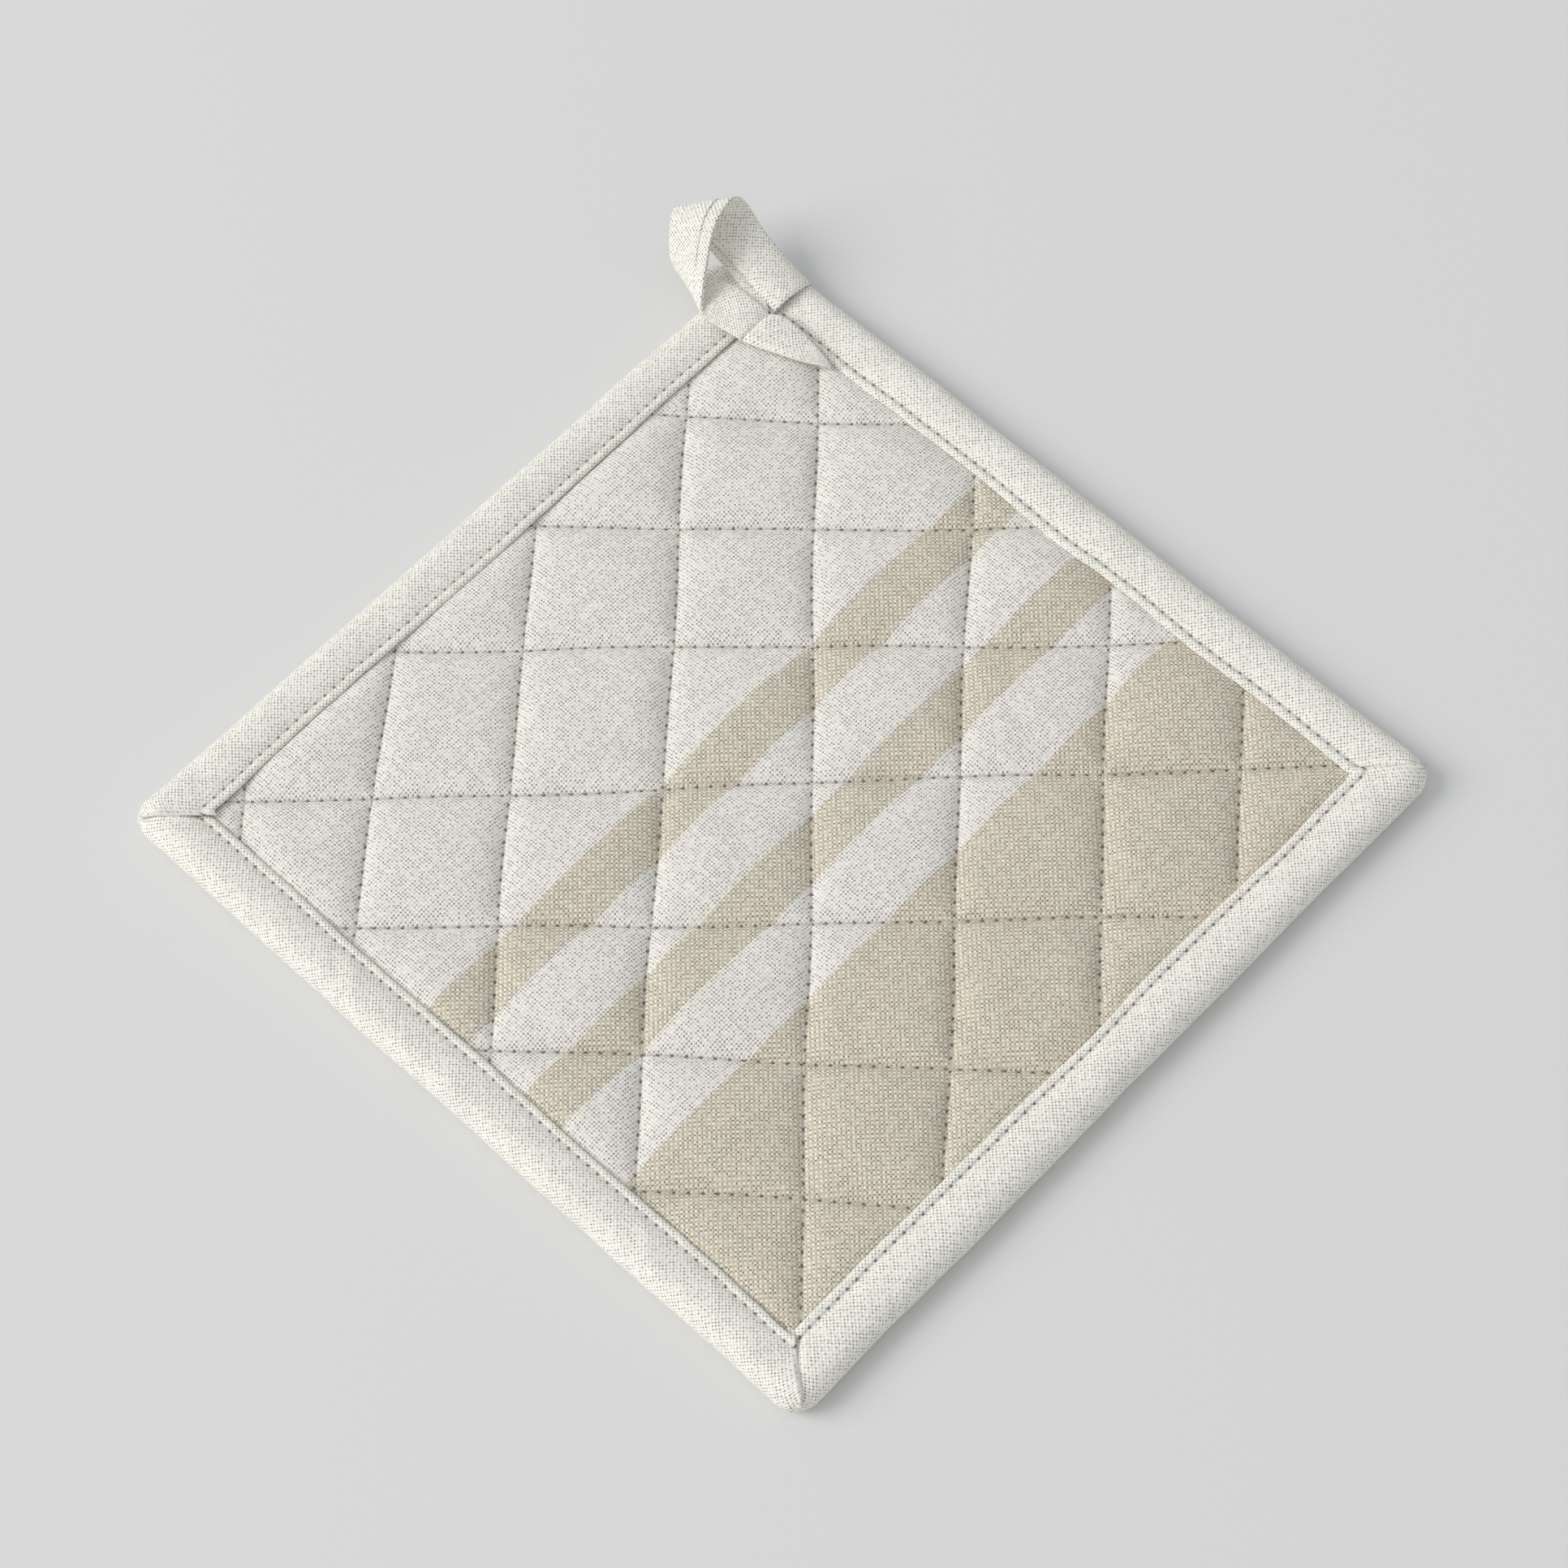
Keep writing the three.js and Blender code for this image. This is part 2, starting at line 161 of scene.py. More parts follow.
def tube_faces(rings, around):
    """Quads along a tube of rings, and one cap at each end."""
    caps = [list(range(around))[::-1], list(range((rings - 1) * around, rings * around))]
    return grid_faces(rings, around, True) + caps


def spline(points, count, closed=False):
    """Catmull-Rom curve through the points, evenly spaced in their index."""
    points = np.asarray(points, float)
    n = len(points)
    t = np.linspace(0, n if closed else n - 1, count, endpoint=not closed)
    i = np.minimum(np.floor(t).astype(int), n - 1 if closed else n - 2)
    f = (t - i)[:, None]
    pick = (lambda k: points[k % n]) if closed else (lambda k: points[np.clip(k, 0, n - 1)])
    a, b, c, d = pick(i - 1), pick(i), pick(i + 1), pick(i + 2)
    return b + 0.5 * f * (c - a + f * (2 * a - 5 * b + 4 * c - d + f * (3 * (b - c) + d - a)))


def unit(vectors):
    return vectors / np.linalg.norm(vectors, axis=-1, keepdims=True)


# ---- The quilted panels ----


def side_distance(x, y):
    """Distance inward from the nearest side of the pad."""
    across, along = (x - y) / ROOT2, (x + y) / ROOT2
    return HALF_SIDE - np.maximum(np.abs(across), np.abs(along))


def wander(t, index):
    return 0.4 * np.sin(t / 23 + 1.7 * index) + 0.22 * np.sin(t / 9.5 + 2.3 * index)


def lines(table, outer, along):
    """Positions of all the sewn lines of one direction at the given places along them."""
    whole = [outer[0], *table, outer[1]]
    return np.stack([at + lean * along + wander(along, k) for k, (at, lean) in enumerate(whole)])


def cell_place(value, seams):
    """Which cell each point is in, and its distances from the seams on both sides."""
    gap = value[None] - seams
    cell = np.clip((gap > 0).sum(0) - 1, 0, len(seams) - 2)
    pick = np.arange(value.size)
    return cell, np.maximum(gap[cell, pick], 0), np.maximum(-gap[cell + 1, pick], 0)


def quilt(x, y):
    """Quilting at each point: distances from the nearest row and column, the rise by the seam, the crown."""
    row, row_low, row_high = cell_place(y, lines(ROWS, OUTER_ROWS, x))
    column, column_low, column_high = cell_place(x, lines(COLUMNS, OUTER_COLUMNS, y))
    row_gap, column_gap = np.minimum(row_low, row_high), np.minimum(column_low, column_high)
    rise = (1 - np.exp(-row_gap / SEAM_REACH)) * (1 - np.exp(-column_gap / SEAM_REACH))
    row_t, column_t = row_low / (row_low + row_high), column_low / (column_low + column_high)
    crown = np.clip(16 * row_t * (1 - row_t) * column_t * (1 - column_t), 0, 1) ** 0.7
    fullness = 1 + 0.22 * np.random.default_rng(5).uniform(-1, 1, (12, 12))[row, column]
    return row_gap, column_gap, rise, crown * fullness


def front_top(x, y):
    """Height of the front cloth: crowned cells, puckers along the seams, edges tucked under the binding."""
    row_gap, column_gap, rise, crown = quilt(x, y)
    span = CROWN_TOP - VALLEY_TOP
    z = VALLEY_TOP + span * (NEAR_SEAM_SHARE * rise + (1 - NEAR_SEAM_SHARE) * crown)
    z += 0.22 * noise(x, y, 13, 11) * rise + 0.1 * noise(x, y, 5, 12) * rise
    for gap, along, across, seed in ((row_gap, x, y, 21), (column_gap, y, x, 22)):
        pull = np.exp(-gap / PUCKER_REACH)
        z += 0.2 * pull * noise(along, across * 0.35, 2.6, seed) * (1 - np.exp(-gap / 0.8))
        z -= 0.14 * np.exp(-((gap / 0.9) ** 2)) * (0.5 + 0.5 * np.cos(2 * math.pi * along / STITCH_PITCH))
    inset = side_distance(x, y)
    tuck = 1 - np.exp(-np.maximum(inset - TUCK_INSET, 0) / TUCK_REACH)
    z = TUCK_TOP + (z - TUCK_TOP) * tuck
    return z - 0.05 * np.maximum(THIN_EDGE - inset, 0) ** 2


def back_bottom(x, y):
    """Height of the back cloth's underside, flatter than the front."""
    row_gap, column_gap, rise, crown = quilt(x, y)
    z = BACK_SEAM * (1 - 0.62 * rise - 0.38 * np.minimum(crown, 1)) + 0.04
    z += 0.08 * (1 + noise(x, y, 7, 31)) * rise * (1 - crown)
    inset = side_distance(x, y)
    tuck = 1 - np.exp(-np.maximum(inset - TUCK_INSET, 0) / TUCK_REACH)
    return BACK_TUCK + (z - BACK_TUCK) * tuck + 0.03 * np.maximum(THIN_EDGE - inset, 0) ** 2


def panel_grid(per_cell, inset):
    """A flat square of quads whose edges follow the sewn lines, cut off straight at that inset."""
    step = np.linspace(0, 1, per_cell, endpoint=False)
    step = 0.5 * step + 0.25 * (1 - np.cos(math.pi * step))

    def ladder(count):
        return np.append((np.arange(count)[:, None] + step[None]).ravel(), count)

    columns, rows = ladder(len(COLUMNS) + 1), ladder(len(ROWS) + 1)
    shape = (len(rows), len(columns))
    at_row, at_column = np.meshgrid(rows, columns, indexing="ij")
    row, column = np.minimum(at_row.astype(int), len(ROWS)), np.minimum(at_column.astype(int), len(COLUMNS))
    row_t, column_t = at_row - row, at_column - column

    def between(seams, index, t):
        flat = seams.reshape(len(seams), -1)
        pick = np.arange(index.size)
        low, high = flat[index.ravel(), pick], flat[index.ravel() + 1, pick]
        return (low + (high - low) * t.ravel()).reshape(shape)

    x, y = np.zeros(shape), np.zeros(shape)
    for _ in range(GRID_PASSES):
        x = between(lines(COLUMNS, OUTER_COLUMNS, y), column, column_t)
        y = between(lines(ROWS, OUTER_ROWS, x), row, row_t)
    faces = np.array(grid_faces(*shape, False))
    keep = (side_distance(x.ravel(), y.ravel())[faces] > inset - CUT_MARGIN).any(1)
    used, faces = np.unique(faces[keep], return_inverse=True)
    flat = bmesh.new()
    verts = [flat.verts.new(p) for p in zip(x.ravel()[used], y.ravel()[used], np.zeros(len(used)))]
    for quad in faces.reshape(-1, 4):
        flat.faces.new([verts[k] for k in quad])
    for sx, sy in ((1, 1), (-1, 1), (-1, -1), (1, -1)):
        normal = Vector((sx, sy, 0)) / ROOT2
        everything = flat.verts[:] + flat.edges[:] + flat.faces[:]
        place = normal * (HALF_SIDE - inset)
        bmesh.ops.bisect_plane(
            flat, geom=everything, plane_co=place, plane_no=normal, clear_outer=True, dist=1e-4
        )
    flat.verts.index_update()
    points = np.array([v.co[:2] for v in flat.verts])
    polygons = [[v.index for v in face.verts] for face in flat.faces]
    rim = []
    for edge in flat.edges:
        if len(edge.link_loops) == 1:
            loop = edge.link_loops[0]
            rim.append((loop.vert.index, loop.link_loop_next.vert.index))
    flat.free()
    return points, polygons, rim


def shell(name, grid, top, bottom):
    """A closed sheet between two heights over a flat grid, storing its place in the weave and its seams."""
    flat, polygons, rim = grid
    x, y = flat.T
    n = len(flat)
    points = np.vstack([np.column_stack([x, y, top]), np.column_stack([x, y, bottom])])
    faces = polygons + [[k + n for k in face][::-1] for face in polygons]
    faces += [[b, a, a + n, b + n] for a, b in rim]
    row_gap, column_gap, _, _ = quilt(x, y)
    yarn = np.column_stack([(x - y) / ROOT2, (x + y) / ROOT2, 0 * x])
    seam = np.column_stack([row_gap, column_gap, side_distance(x, y)])
    place = np.column_stack([x, y, 0 * x])
    doubled = [(key, np.vstack([v, v])) for key, v in (("yarn", yarn), ("seam", seam), ("place", place))]
    return mesh_object(name, points, faces, doubled)


front_grid = panel_grid(FRONT_GRID, PANEL_INSET)
fx, fy = front_grid[0].T
front_z = front_top(fx, fy)
front_cloth = shell("front_cloth", front_grid, front_z, front_z - CLOTH)

back_grid = panel_grid(BACK_GRID, PANEL_INSET)
bx, by = back_grid[0].T
back_z = back_bottom(bx, by)
back_cloth = shell("back_cloth", back_grid, back_z + CLOTH, back_z)

wadding_grid = panel_grid(WADDING_GRID, PANEL_INSET + 0.6)
wx, wy = wadding_grid[0].T
_, _, wadding_rise, wadding_crown = quilt(wx, wy)
wadding_edge = 1 - np.exp(-np.maximum(side_distance(wx, wy) - TUCK_INSET, 0) / 3)
wadding_top = WADDING_TOP + (2.2 * wadding_rise * wadding_crown) * wadding_edge + 0.4 * (1 - wadding_edge)
wadding_bottom = WADDING_BOTTOM - 1.2 * wadding_rise * np.minimum(wadding_crown, 1) * wadding_edge
wadding = shell("wadding", wadding_grid, wadding_top, wadding_bottom)

# ---- The binding ----

# Cross-section of the binding: distance in from the pad's edge, and height. It runs over the top from the
# lip, round the edge and back underneath, and returns along the inside that grips the panels.
SECTION = [
    (11.75, 5.35), (12.05, 5.75), (11.75, 6.25), (11.1, 6.45), (10.5, 6.36), (10.1, 6.14), (9.6, 6.34),
    (8.6, 6.8), (7.0, 7.2), (5.0, 7.4), (3.2, 7.25), (1.6, 6.4), (0.55, 5.1), (0.15, 3.8), (0.45, 2.2),
    (1.4, 0.9), (3.0, 0.28), (5.5, 0.1), (8.6, 0.12), (10.1, 0.42), (11.0, 0.14), (12.0, 0.2),
    (12.35, 0.65), (11.9, 1.1), (9.0, 1.3), (5.0, 1.4), (2.9, 1.8), (2.3, 3.5), (2.9, 4.9), (5.0, 5.85),
    (8.0, 5.8), (10.4, 5.35),
]
LIP_WIDTH = 12.0
TOP_STITCH = (10.1, 6.05)
BACK_STITCH = (10.1, 0.36)
OUTER_RADIUS = 6.5
INNER_RADIUS = 0.8
SECTION_POINTS = 72
RUN_STATIONS = 230

# Each run of binding, going round the pad from the right corner: its outward direction, its width at its
# start and end, and how much its folded end lifts off the next run.
RUNS = {
    "upper_right": dict(outward=(1, 1), width=(13.4, 13.0), lift=0.0, seed=41),
    "upper_left": dict(outward=(-1, 1), width=(11.8, 13.4), lift=0.75, seed=42),
    "lower_left": dict(outward=(-1, -1), width=(12.6, 12.4), lift=0.6, seed=43),
    "lower_right": dict(outward=(1, -1), width=(13.4, 12.8), lift=0.3, seed=44),
}
# Diagonal bias puckers: run, place along it, height, half width, lean.
PUCKERS = [
    ("upper_right", 34, 0.4, 2.2, 0.9), ("upper_right", 27, -0.35, 1.8, 0.9),
    ("upper_right", -12, 0.4, 2.4, 1.0), ("upper_right", -19, -0.35, 2.0, 1.0),
    ("lower_left", -35, 0.35, 2.4, -0.9), ("lower_left", -41, -0.3, 2.0, -0.9),
    ("lower_left", 52, 0.3, 2.6, -0.8), ("lower_right", 20, 0.22, 3.0, 0.8),
    ("upper_left", -30, 0.2, 3.0, -0.7), ("upper_left", 44, 0.2, 2.6, -0.8),
]
# Where the upper right run ends under the loop, and the line of stitches that tacks the loop down,
# both counted out past the corner.
LOOP_SEAM = -13.3
TACK_LINE = -14.5
# How far a folded end runs past the mitre, at the edge and at the lip.
END_REACH = (1.3, 0.1)
END_REACH_INSETS = (2, 11)
END_ROUNDING = 1.1
TOPSTITCH_PITCH = 2.8
FAR_FROM_SEAM = 99
LOOP_COVER = 27


def corner_radius(inset):
    return OUTER_RADIUS + (INNER_RADIUS - OUTER_RADIUS) * smooth(inset / 11)


def run_end(inset):
    """How far from the middle of a run its mitred end is, for each distance in from the edge."""
    radius = corner_radius(inset)
    return HALF_SIDE - inset - radius + radius * math.pi / 4 + np.interp(inset, END_REACH_INSETS, END_REACH)


def run_point(name, along, inset, height):
    """A point of a run's cross-section, put at a place along the run with all its unevenness."""
    run = RUNS[name]
    seed = run["seed"]
    outward = np.array(run["outward"]) / ROOT2
    forward = np.array([-outward[1], outward[0]])
    share = np.clip(inset / LIP_WIDTH, 0, 1.03)
    t = (along / HALF_SIDE + 1) / 2
    width = run["width"][0] + (run["width"][1] - run["width"][0]) * t
    width = width + 0.45 * noise(along, 0, 21, seed) + 0.12 * noise(along, 5, 6, seed + 10)
    edge = 0.32 * noise(along, 9, 26, seed + 20) + 0.14 * noise(along, 3, 8, seed + 30)
    upper = smooth((height - 2.5) / 2.5)
    lip = np.where(upper > 0, width, 0.4 * width + 0.6 * LIP_WIDTH)
    moved = share * (lip * upper + (1 - upper) * (0.4 * width + 0.6 * LIP_WIDTH)) + edge * (1 - share)
    middle = np.clip(np.sin(math.pi * np.clip((inset - 0.8) / 10, 0, 1)), 0, 1)
    lifted = 0.2 * noise(along + 0.9 * inset, 0.3 * (along - 0.9 * inset), 5.2, seed + 40)
    lifted = lifted * (0.5 + 0.5 * noise(along, 2, 17, seed + 50)) + 0.15 * noise(along, inset, 15, seed + 60)
    for owner, place, tall, wide, lean in PUCKERS:
        if owner == name:
            lifted = lifted + tall * np.exp(-(((along - place - lean * (inset - 6)) / wide) ** 2))
    outside = np.where((inset > 2.6) & (height > 5.2) & (height < 5.95) & (inset < 10.6), 0.5, 1.0)
    end = run_end(moved)
    to_end = end - along
    over = np.exp(-np.maximum(to_end, 0) / 5) * run["lift"] * (1 + 0.8 * np.exp(-(((inset - 3) / 2.4) ** 2)))
    under = np.exp(-((np.maximum(end + along, 0) / 1.5) ** 2)) * 0.75
    z = height + upper * (lifted * middle * outside + over - under)
    if name == "upper_right":
        buried = smooth((along - (HALF_SIDE + LOOP_SEAM - 0.6)) / 1.4)
        z = z - upper * buried * 1.25
        moved = moved + 0.5 * buried * upper * (1 - share)
    radius = corner_radius(moved)
    straight = HALF_SIDE - moved - radius
    reach = np.abs(along)
    angle = np.clip((reach - straight) / radius, 0, math.pi / 2)
    beyond = np.maximum(reach - straight - radius * math.pi / 2, 0)
    on = np.where(angle > 0, straight + radius * np.sin(angle), reach) * np.sign(along)
    out = straight + radius * np.cos(angle) - beyond
    x = forward[0] * on + outward[0] * out
    y = forward[1] * on + outward[1] * out
    return np.stack([x, y, z], -1)


def section_points():
    """The cross-section and the distance along it, as the tape lies when unrolled."""
    loop = spline(SECTION, SECTION_POINTS, closed=True)
    girth = np.concatenate([[0], np.cumsum(np.linalg.norm(np.diff(loop, axis=0), axis=1))])
    return loop, girth


def binding_run(name):
    """One side's binding: the cross-section swept along the run, with mitred, rounded ends."""
    loop, girth = section_points()
    t = np.linspace(-1, 1, RUN_STATIONS)
    t = 0.72 * t + 0.28 * np.sin(t * math.pi / 2)
    inset = np.clip(loop[:, 0], 0, None)
    t_grid, inset_grid = np.meshgrid(t, inset, indexing="ij")
    along = t_grid * run_end(inset_grid)
    height = np.broadcast_to(loop[:, 1], along.shape)
    # The folded ends round over.
    to_end = run_end(inset_grid) - np.abs(along)
    close = np.sqrt(np.clip(1 - (1 - np.clip(to_end / END_ROUNDING, 0, 1)) ** 2, 0.04, 1))
    wall = np.where(height > 3.5, 6.3, 0.7)
    height = np.where((inset_grid > 2.4) | (height > 3.5), wall + (height - wall) * close, height)
    points = run_point(name, along, inset_grid, height)
    yarn = np.stack([(along + girth) / ROOT2, (along - girth) / ROOT2, 0 * along], -1)
    nearest = [np.argmin(np.linalg.norm(loop - spot, axis=1)) for spot in (TOP_STITCH, BACK_STITCH)]
    gap = np.minimum(*(np.abs(girth - girth[k]) for k in nearest))
    seam = np.column_stack([gap, 0 * girth + FAR_FROM_SEAM, 0 * girth])
    seam = np.broadcast_to(seam, (*along.shape, 3))
    place = np.stack([along, 0 * along, 0 * along], -1)
    stored = [(key, v.reshape(-1, 3)) for key, v in (("yarn", yarn), ("seam", seam), ("place", place))]
    return mesh_object("binding_tape_" + name, points, tube_faces(RUN_STATIONS, SECTION_POINTS), stored)


bindings = {name: binding_run(name) for name in RUNS}

# ---- The hanging loop ----

LOOP_SIDE = np.array([-1, 1, 0]) / ROOT2
LOOP_IN = np.array([-1, -1, 0]) / ROOT2
TOP_CORNER = np.array([0, HALF_SIDE * ROOT2, 0])


def loop_frame(points):
    """(out past the corner along the upper right side, in from that side, up) to pad coordinates."""
    points = np.asarray(points, float)
    up = np.array([0, 0, 1])
    return TOP_CORNER + points[..., :1] * LOOP_SIDE + points[..., 1:2] * LOOP_IN + points[..., 2:] * up


# The two edges of the tape, station by station, from the seam that tacks it down, out past the corner,
# round and back to the same seam. The near edge stands up and curls over; the far edge swings round it.
NEAR_EDGE = [
    (-14.5, 0.4, 4.9), (-9, 0.1, 6.2), (-3.5, -0.3, 8.4), (1.2, -0.6, 10.6), (5.2, -1.0, 13.4),
    (8.0, -0.4, 16.6), (8.9, 2.0, 19.0), (8.4, 5.6, 19.9), (7.5, 9.7, 19.5), (6.0, 13.2, 17.8),
    (3.9, 16.4, 15.4), (1.5, 19.6, 12.8), (-0.9, 22.5, 10.2), (-2.5, 24.2, 9.0), (-4.2, 24.9, 8.6),
    (-6.6, 24.8, 8.5), (-9.2, 24.4, 8.5), (-11.8, 24.0, 8.4), (-14.5, 23.5, 8.1),
]
FAR_EDGE = [
    (-14.5, 12.6, 7.5), (-9.5, 12.0, 8.3), (-4.0, 11.2, 8.9), (1.4, 10.4, 9.3), (7.2, 10.0, 10.0),
    (12.6, 10.0, 11.8), (16.8, 10.4, 14.6), (18.2, 12.0, 16.4), (17.5, 14.9, 16.0), (15.8, 17.8, 14.2),
    (13.8, 19.8, 11.6), (11.9, 20.7, 9.2), (10.2, 20.4, 7.0), (8.4, 18.8, 5.4), (5.6, 16.8, 5.2),
    (1.8, 14.9, 6.9), (-4.4, 14.0, 8.5), (-9.6, 14.0, 8.8), (-14.5, 14.2, 8.4),
]
# How far the curl leans back on each edge, at which station most, and over how many.
NEAR_LEAN = ((-1.2, -0.8, 0), 8.5, 3.5)
FAR_LEAN = ((-3.3, -1.9, 0), 9.5, 4.5)
TAPE_THICKNESS = 1.6
LOOP_STATIONS = 190
TAPE_AROUND = 40


def leaned(edge, lean):
    """An edge of the loop with its curl leaning back and its tacked ends left in place."""
    shift, station, reach = lean
    share = np.exp(-(((np.arange(len(edge)) - station) / reach) ** 2))
    return np.array(edge, float) + share[:, None] * np.array(shift)


def tape_section():
    """Across and through the flat tape, with a rounded fold at each edge and a sewn groove near one."""
    angle = np.linspace(0, 2 * math.pi, TAPE_AROUND, endpoint=False)
    across = np.sign(np.cos(angle)) * np.abs(np.cos(angle)) ** 0.55
    through = np.sign(np.sin(angle)) * np.abs(np.sin(angle)) ** 0.6
    groove = 0.12 * np.exp(-(((across - 0.62) / 0.1) ** 2)) * np.sign(through)
    return across, through - groove


def tape(near, far, thickness, bulge, ripple, drop=0.0):
    """A flat folded tape lofted between its two edges. bulge and thickness vary from end to end."""
    stations = len(near)
    middle, reach = (near + far) / 2, (far - near) / 2
    tangent = unit(np.gradient(middle, axis=0))
    sideways = unit(reach)
    normal = unit(np.cross(tangent, sideways))
    across, through = tape_section()
    half = np.linalg.norm(reach, axis=1)
    rise = bulge[:, None] * np.clip(1 - np.abs(across[None]) ** 2.4, 0, 1) + ripple(across)
    offset = rise - drop + through[None] * thickness[:, None] / 2
    points = middle[:, None] + reach[:, None] * across[None, :, None] + normal[:, None] * offset[..., None]
    run = np.concatenate([[0], np.cumsum(np.linalg.norm(np.diff(middle, axis=0), axis=1))])
    # Twice the half width for the two faces, so that the weave goes on round the folded edge.
    flat = across * half.mean() + np.where(through < 0, 40, 0)
    along = np.broadcast_to(run[:, None], (stations, len(across)))
    yarn = np.stack([(along + flat) / ROOT2, (along - flat) / ROOT2, 0 * along], -1)
    return loop_frame(points).reshape(-1, 3), tube_faces(stations, len(across)), yarn.reshape(-1, 3)


def layers(name, *tapes):
    """One piece made of layers of tape."""
    points, faces, yarns = [], [], []
    for tape_points, tape_quads, yarn in tapes:
        start = sum(len(p) for p in points)
        points.append(tape_points)
        faces += [[k + start for k in face] for face in tape_quads]
        yarns.append(yarn)
    points, yarns = np.vstack(points), np.vstack(yarns)
    seam = np.tile([FAR_FROM_SEAM, FAR_FROM_SEAM, 0.0], (len(points), 1))
    return mesh_object(name, points, faces, [("yarn", yarns), ("seam", seam), ("place", 0 * points)])


near_edge = spline(leaned(NEAR_EDGE, NEAR_LEAN), LOOP_STATIONS)
far_edge = spline(leaned(FAR_EDGE, FAR_LEAN), LOOP_STATIONS)
loop_t = np.linspace(0, 1, LOOP_STATIONS)
loop_bulge = 2.3 * (1 - smooth(loop_t / 0.2)) + 0.5 * smooth((loop_t - 0.85) / 0.1)
END_SHARE = 0.015
END_THINNING = 0.45
thinned = 1 - smooth(loop_t / END_SHARE) + smooth((loop_t - 1 + END_SHARE) / END_SHARE)
loop_thickness = TAPE_THICKNESS * (1 - END_THINNING * thinned)
TACK_PUFFS = 3


def loop_ripple(across):
    """Dents at the tacked ends, and slight unevenness."""
    start, finish = np.exp(-loop_t * 90), np.exp(-(1 - loop_t) * 60)
    scallop = 0.6 + 0.4 * np.cos(across[None] * TACK_PUFFS * math.pi)
    dents = -0.05 * start[:, None] - 0.6 * finish[:, None] * scallop
    return dents + 0.16 * noise(loop_t[:, None] * 60, across[None] * 5, 4, 61)


# The tape is folded double, and its under layer shows past the far edge.
INNER_SHARE = 0.3
UNDER_THICKNESS = 0.7
UNDER_DROP = 0.75
flange = 0.5 + 1.3 * smooth(loop_t / 0.1) + 3.2 * np.exp(-(((loop_t - 0.82) / 0.09) ** 2))
flange = flange * smooth((1 - loop_t) / 0.04)
across_tape = unit(far_edge - near_edge)
under_layer = tape(
    near_edge * (1 - INNER_SHARE) + far_edge * INNER_SHARE,
    far_edge + across_tape * flange[:, None],
    0 * loop_t + UNDER_THICKNESS,
    0 * loop_t,
    lambda across: 0.12 * noise(loop_t[:, None] * 60, across[None] * 3, 3, 62),
    drop=UNDER_DROP,
)
upper_layer = tape(near_edge, far_edge, loop_thickness, loop_bulge, loop_ripple)
hanging_loop = layers("hanging_loop_tape", upper_layer, under_layer)

TAB_NEAR = [
    (-14.5, 23.4, 8.0), (-18.5, 22.5, 8.3), (-22.5, 20.9, 8.2),
    (-26.5, 19.2, 8.0), (-30.2, 17.3, 7.8), (-34.4, 14.9, 7.5),
]
TAB_FAR = [
    (-14.5, 14.0, 8.3), (-17.8, 12.8, 8.6), (-21.5, 12.5, 8.5),
    (-25.6, 12.9, 8.2), (-29.8, 13.5, 7.9), (-34.3, 14.4, 7.5),
]
TAB_STATIONS = 70
tab_t = np.linspace(0, 1, TAB_STATIONS)


def tab_ripple(across):
    """Puffs between the tack stitches, dying out down the tab."""
    rounded = np.abs(np.sin((across[None] * 0.5 + 0.5) * (TACK_PUFFS + 0.3) * math.pi))
    puffs = 0.55 * np.exp(-tab_t * 6)[:, None] * rounded * (1 - np.exp(-tab_t * 18))[:, None]
    dent = 0.8 * np.exp(-tab_t * 30)[:, None]
    return puffs - dent + 0.1 * noise(tab_t[:, None] * 20, across[None] * 4, 3, 63)


end_tab = layers(
    "loop_end_tab_tape",
    tape(
        spline(TAB_NEAR, TAB_STATIONS),
        spline(TAB_FAR, TAB_STATIONS),
        TAPE_THICKNESS * (1 - 0.4 * smooth((tab_t - 0.5) / 0.5)) * (1 - 0.4 * np.exp(-tab_t * 40)),
        0.45 * (1 - tab_t),
        tab_ripple,
    ),
)

# ---- Stitches ----

# Length, width and sway of each kind of stitch.
QUILTING_STITCH = (2.3, 0.42, 0.06)
BINDING_STITCH = (1.9, 0.42, 0.05)
TACK_STITCH = (2.1, 0.5, 0.1)


def stitch_mesh(name, places, directions, ups, kind):
    """Short sunk stitches of thread, each a rounded tube bowed up in its middle."""
    length, width, twist = kind
    rings, around = 9, 10
    t = np.linspace(-1, 1, rings)
    girth = np.sqrt(np.clip(1 - t**4, 0.02, 1))
    angle = np.linspace(0, 2 * math.pi, around, endpoint=False)
    along = np.repeat(t * length / 2, around)
    side = (girth[:, None] * np.cos(angle)).ravel() * width / 2
    lift = (girth[:, None] * np.sin(angle)).ravel() * width / 2 - np.repeat(0.16 * t**2, around)
    directions, ups = unit(directions), unit(ups)
    sides = unit(np.cross(ups, directions))
    sway = np.random.default_rng(71).uniform(-twist, twist, (len(places), 1))
    directions = unit(directions + sides * sway)
    sides = unit(np.cross(ups, directions))
    points = places[:, None] + directions[:, None] * along[None, :, None]
    points = points + sides[:, None] * side[None, :, None] + ups[:, None] * lift[None, :, None]
    template = tube_faces(rings, around)
    count = rings * around
    faces = [[k + i * count for k in face] for i in range(len(places)) for face in template]
    ply = np.column_stack([along, np.tile(angle, rings) * width / 2, np.zeros(count)])
    return mesh_object(name, points, faces, [("yarn", np.tile(ply, (len(places), 1)))])


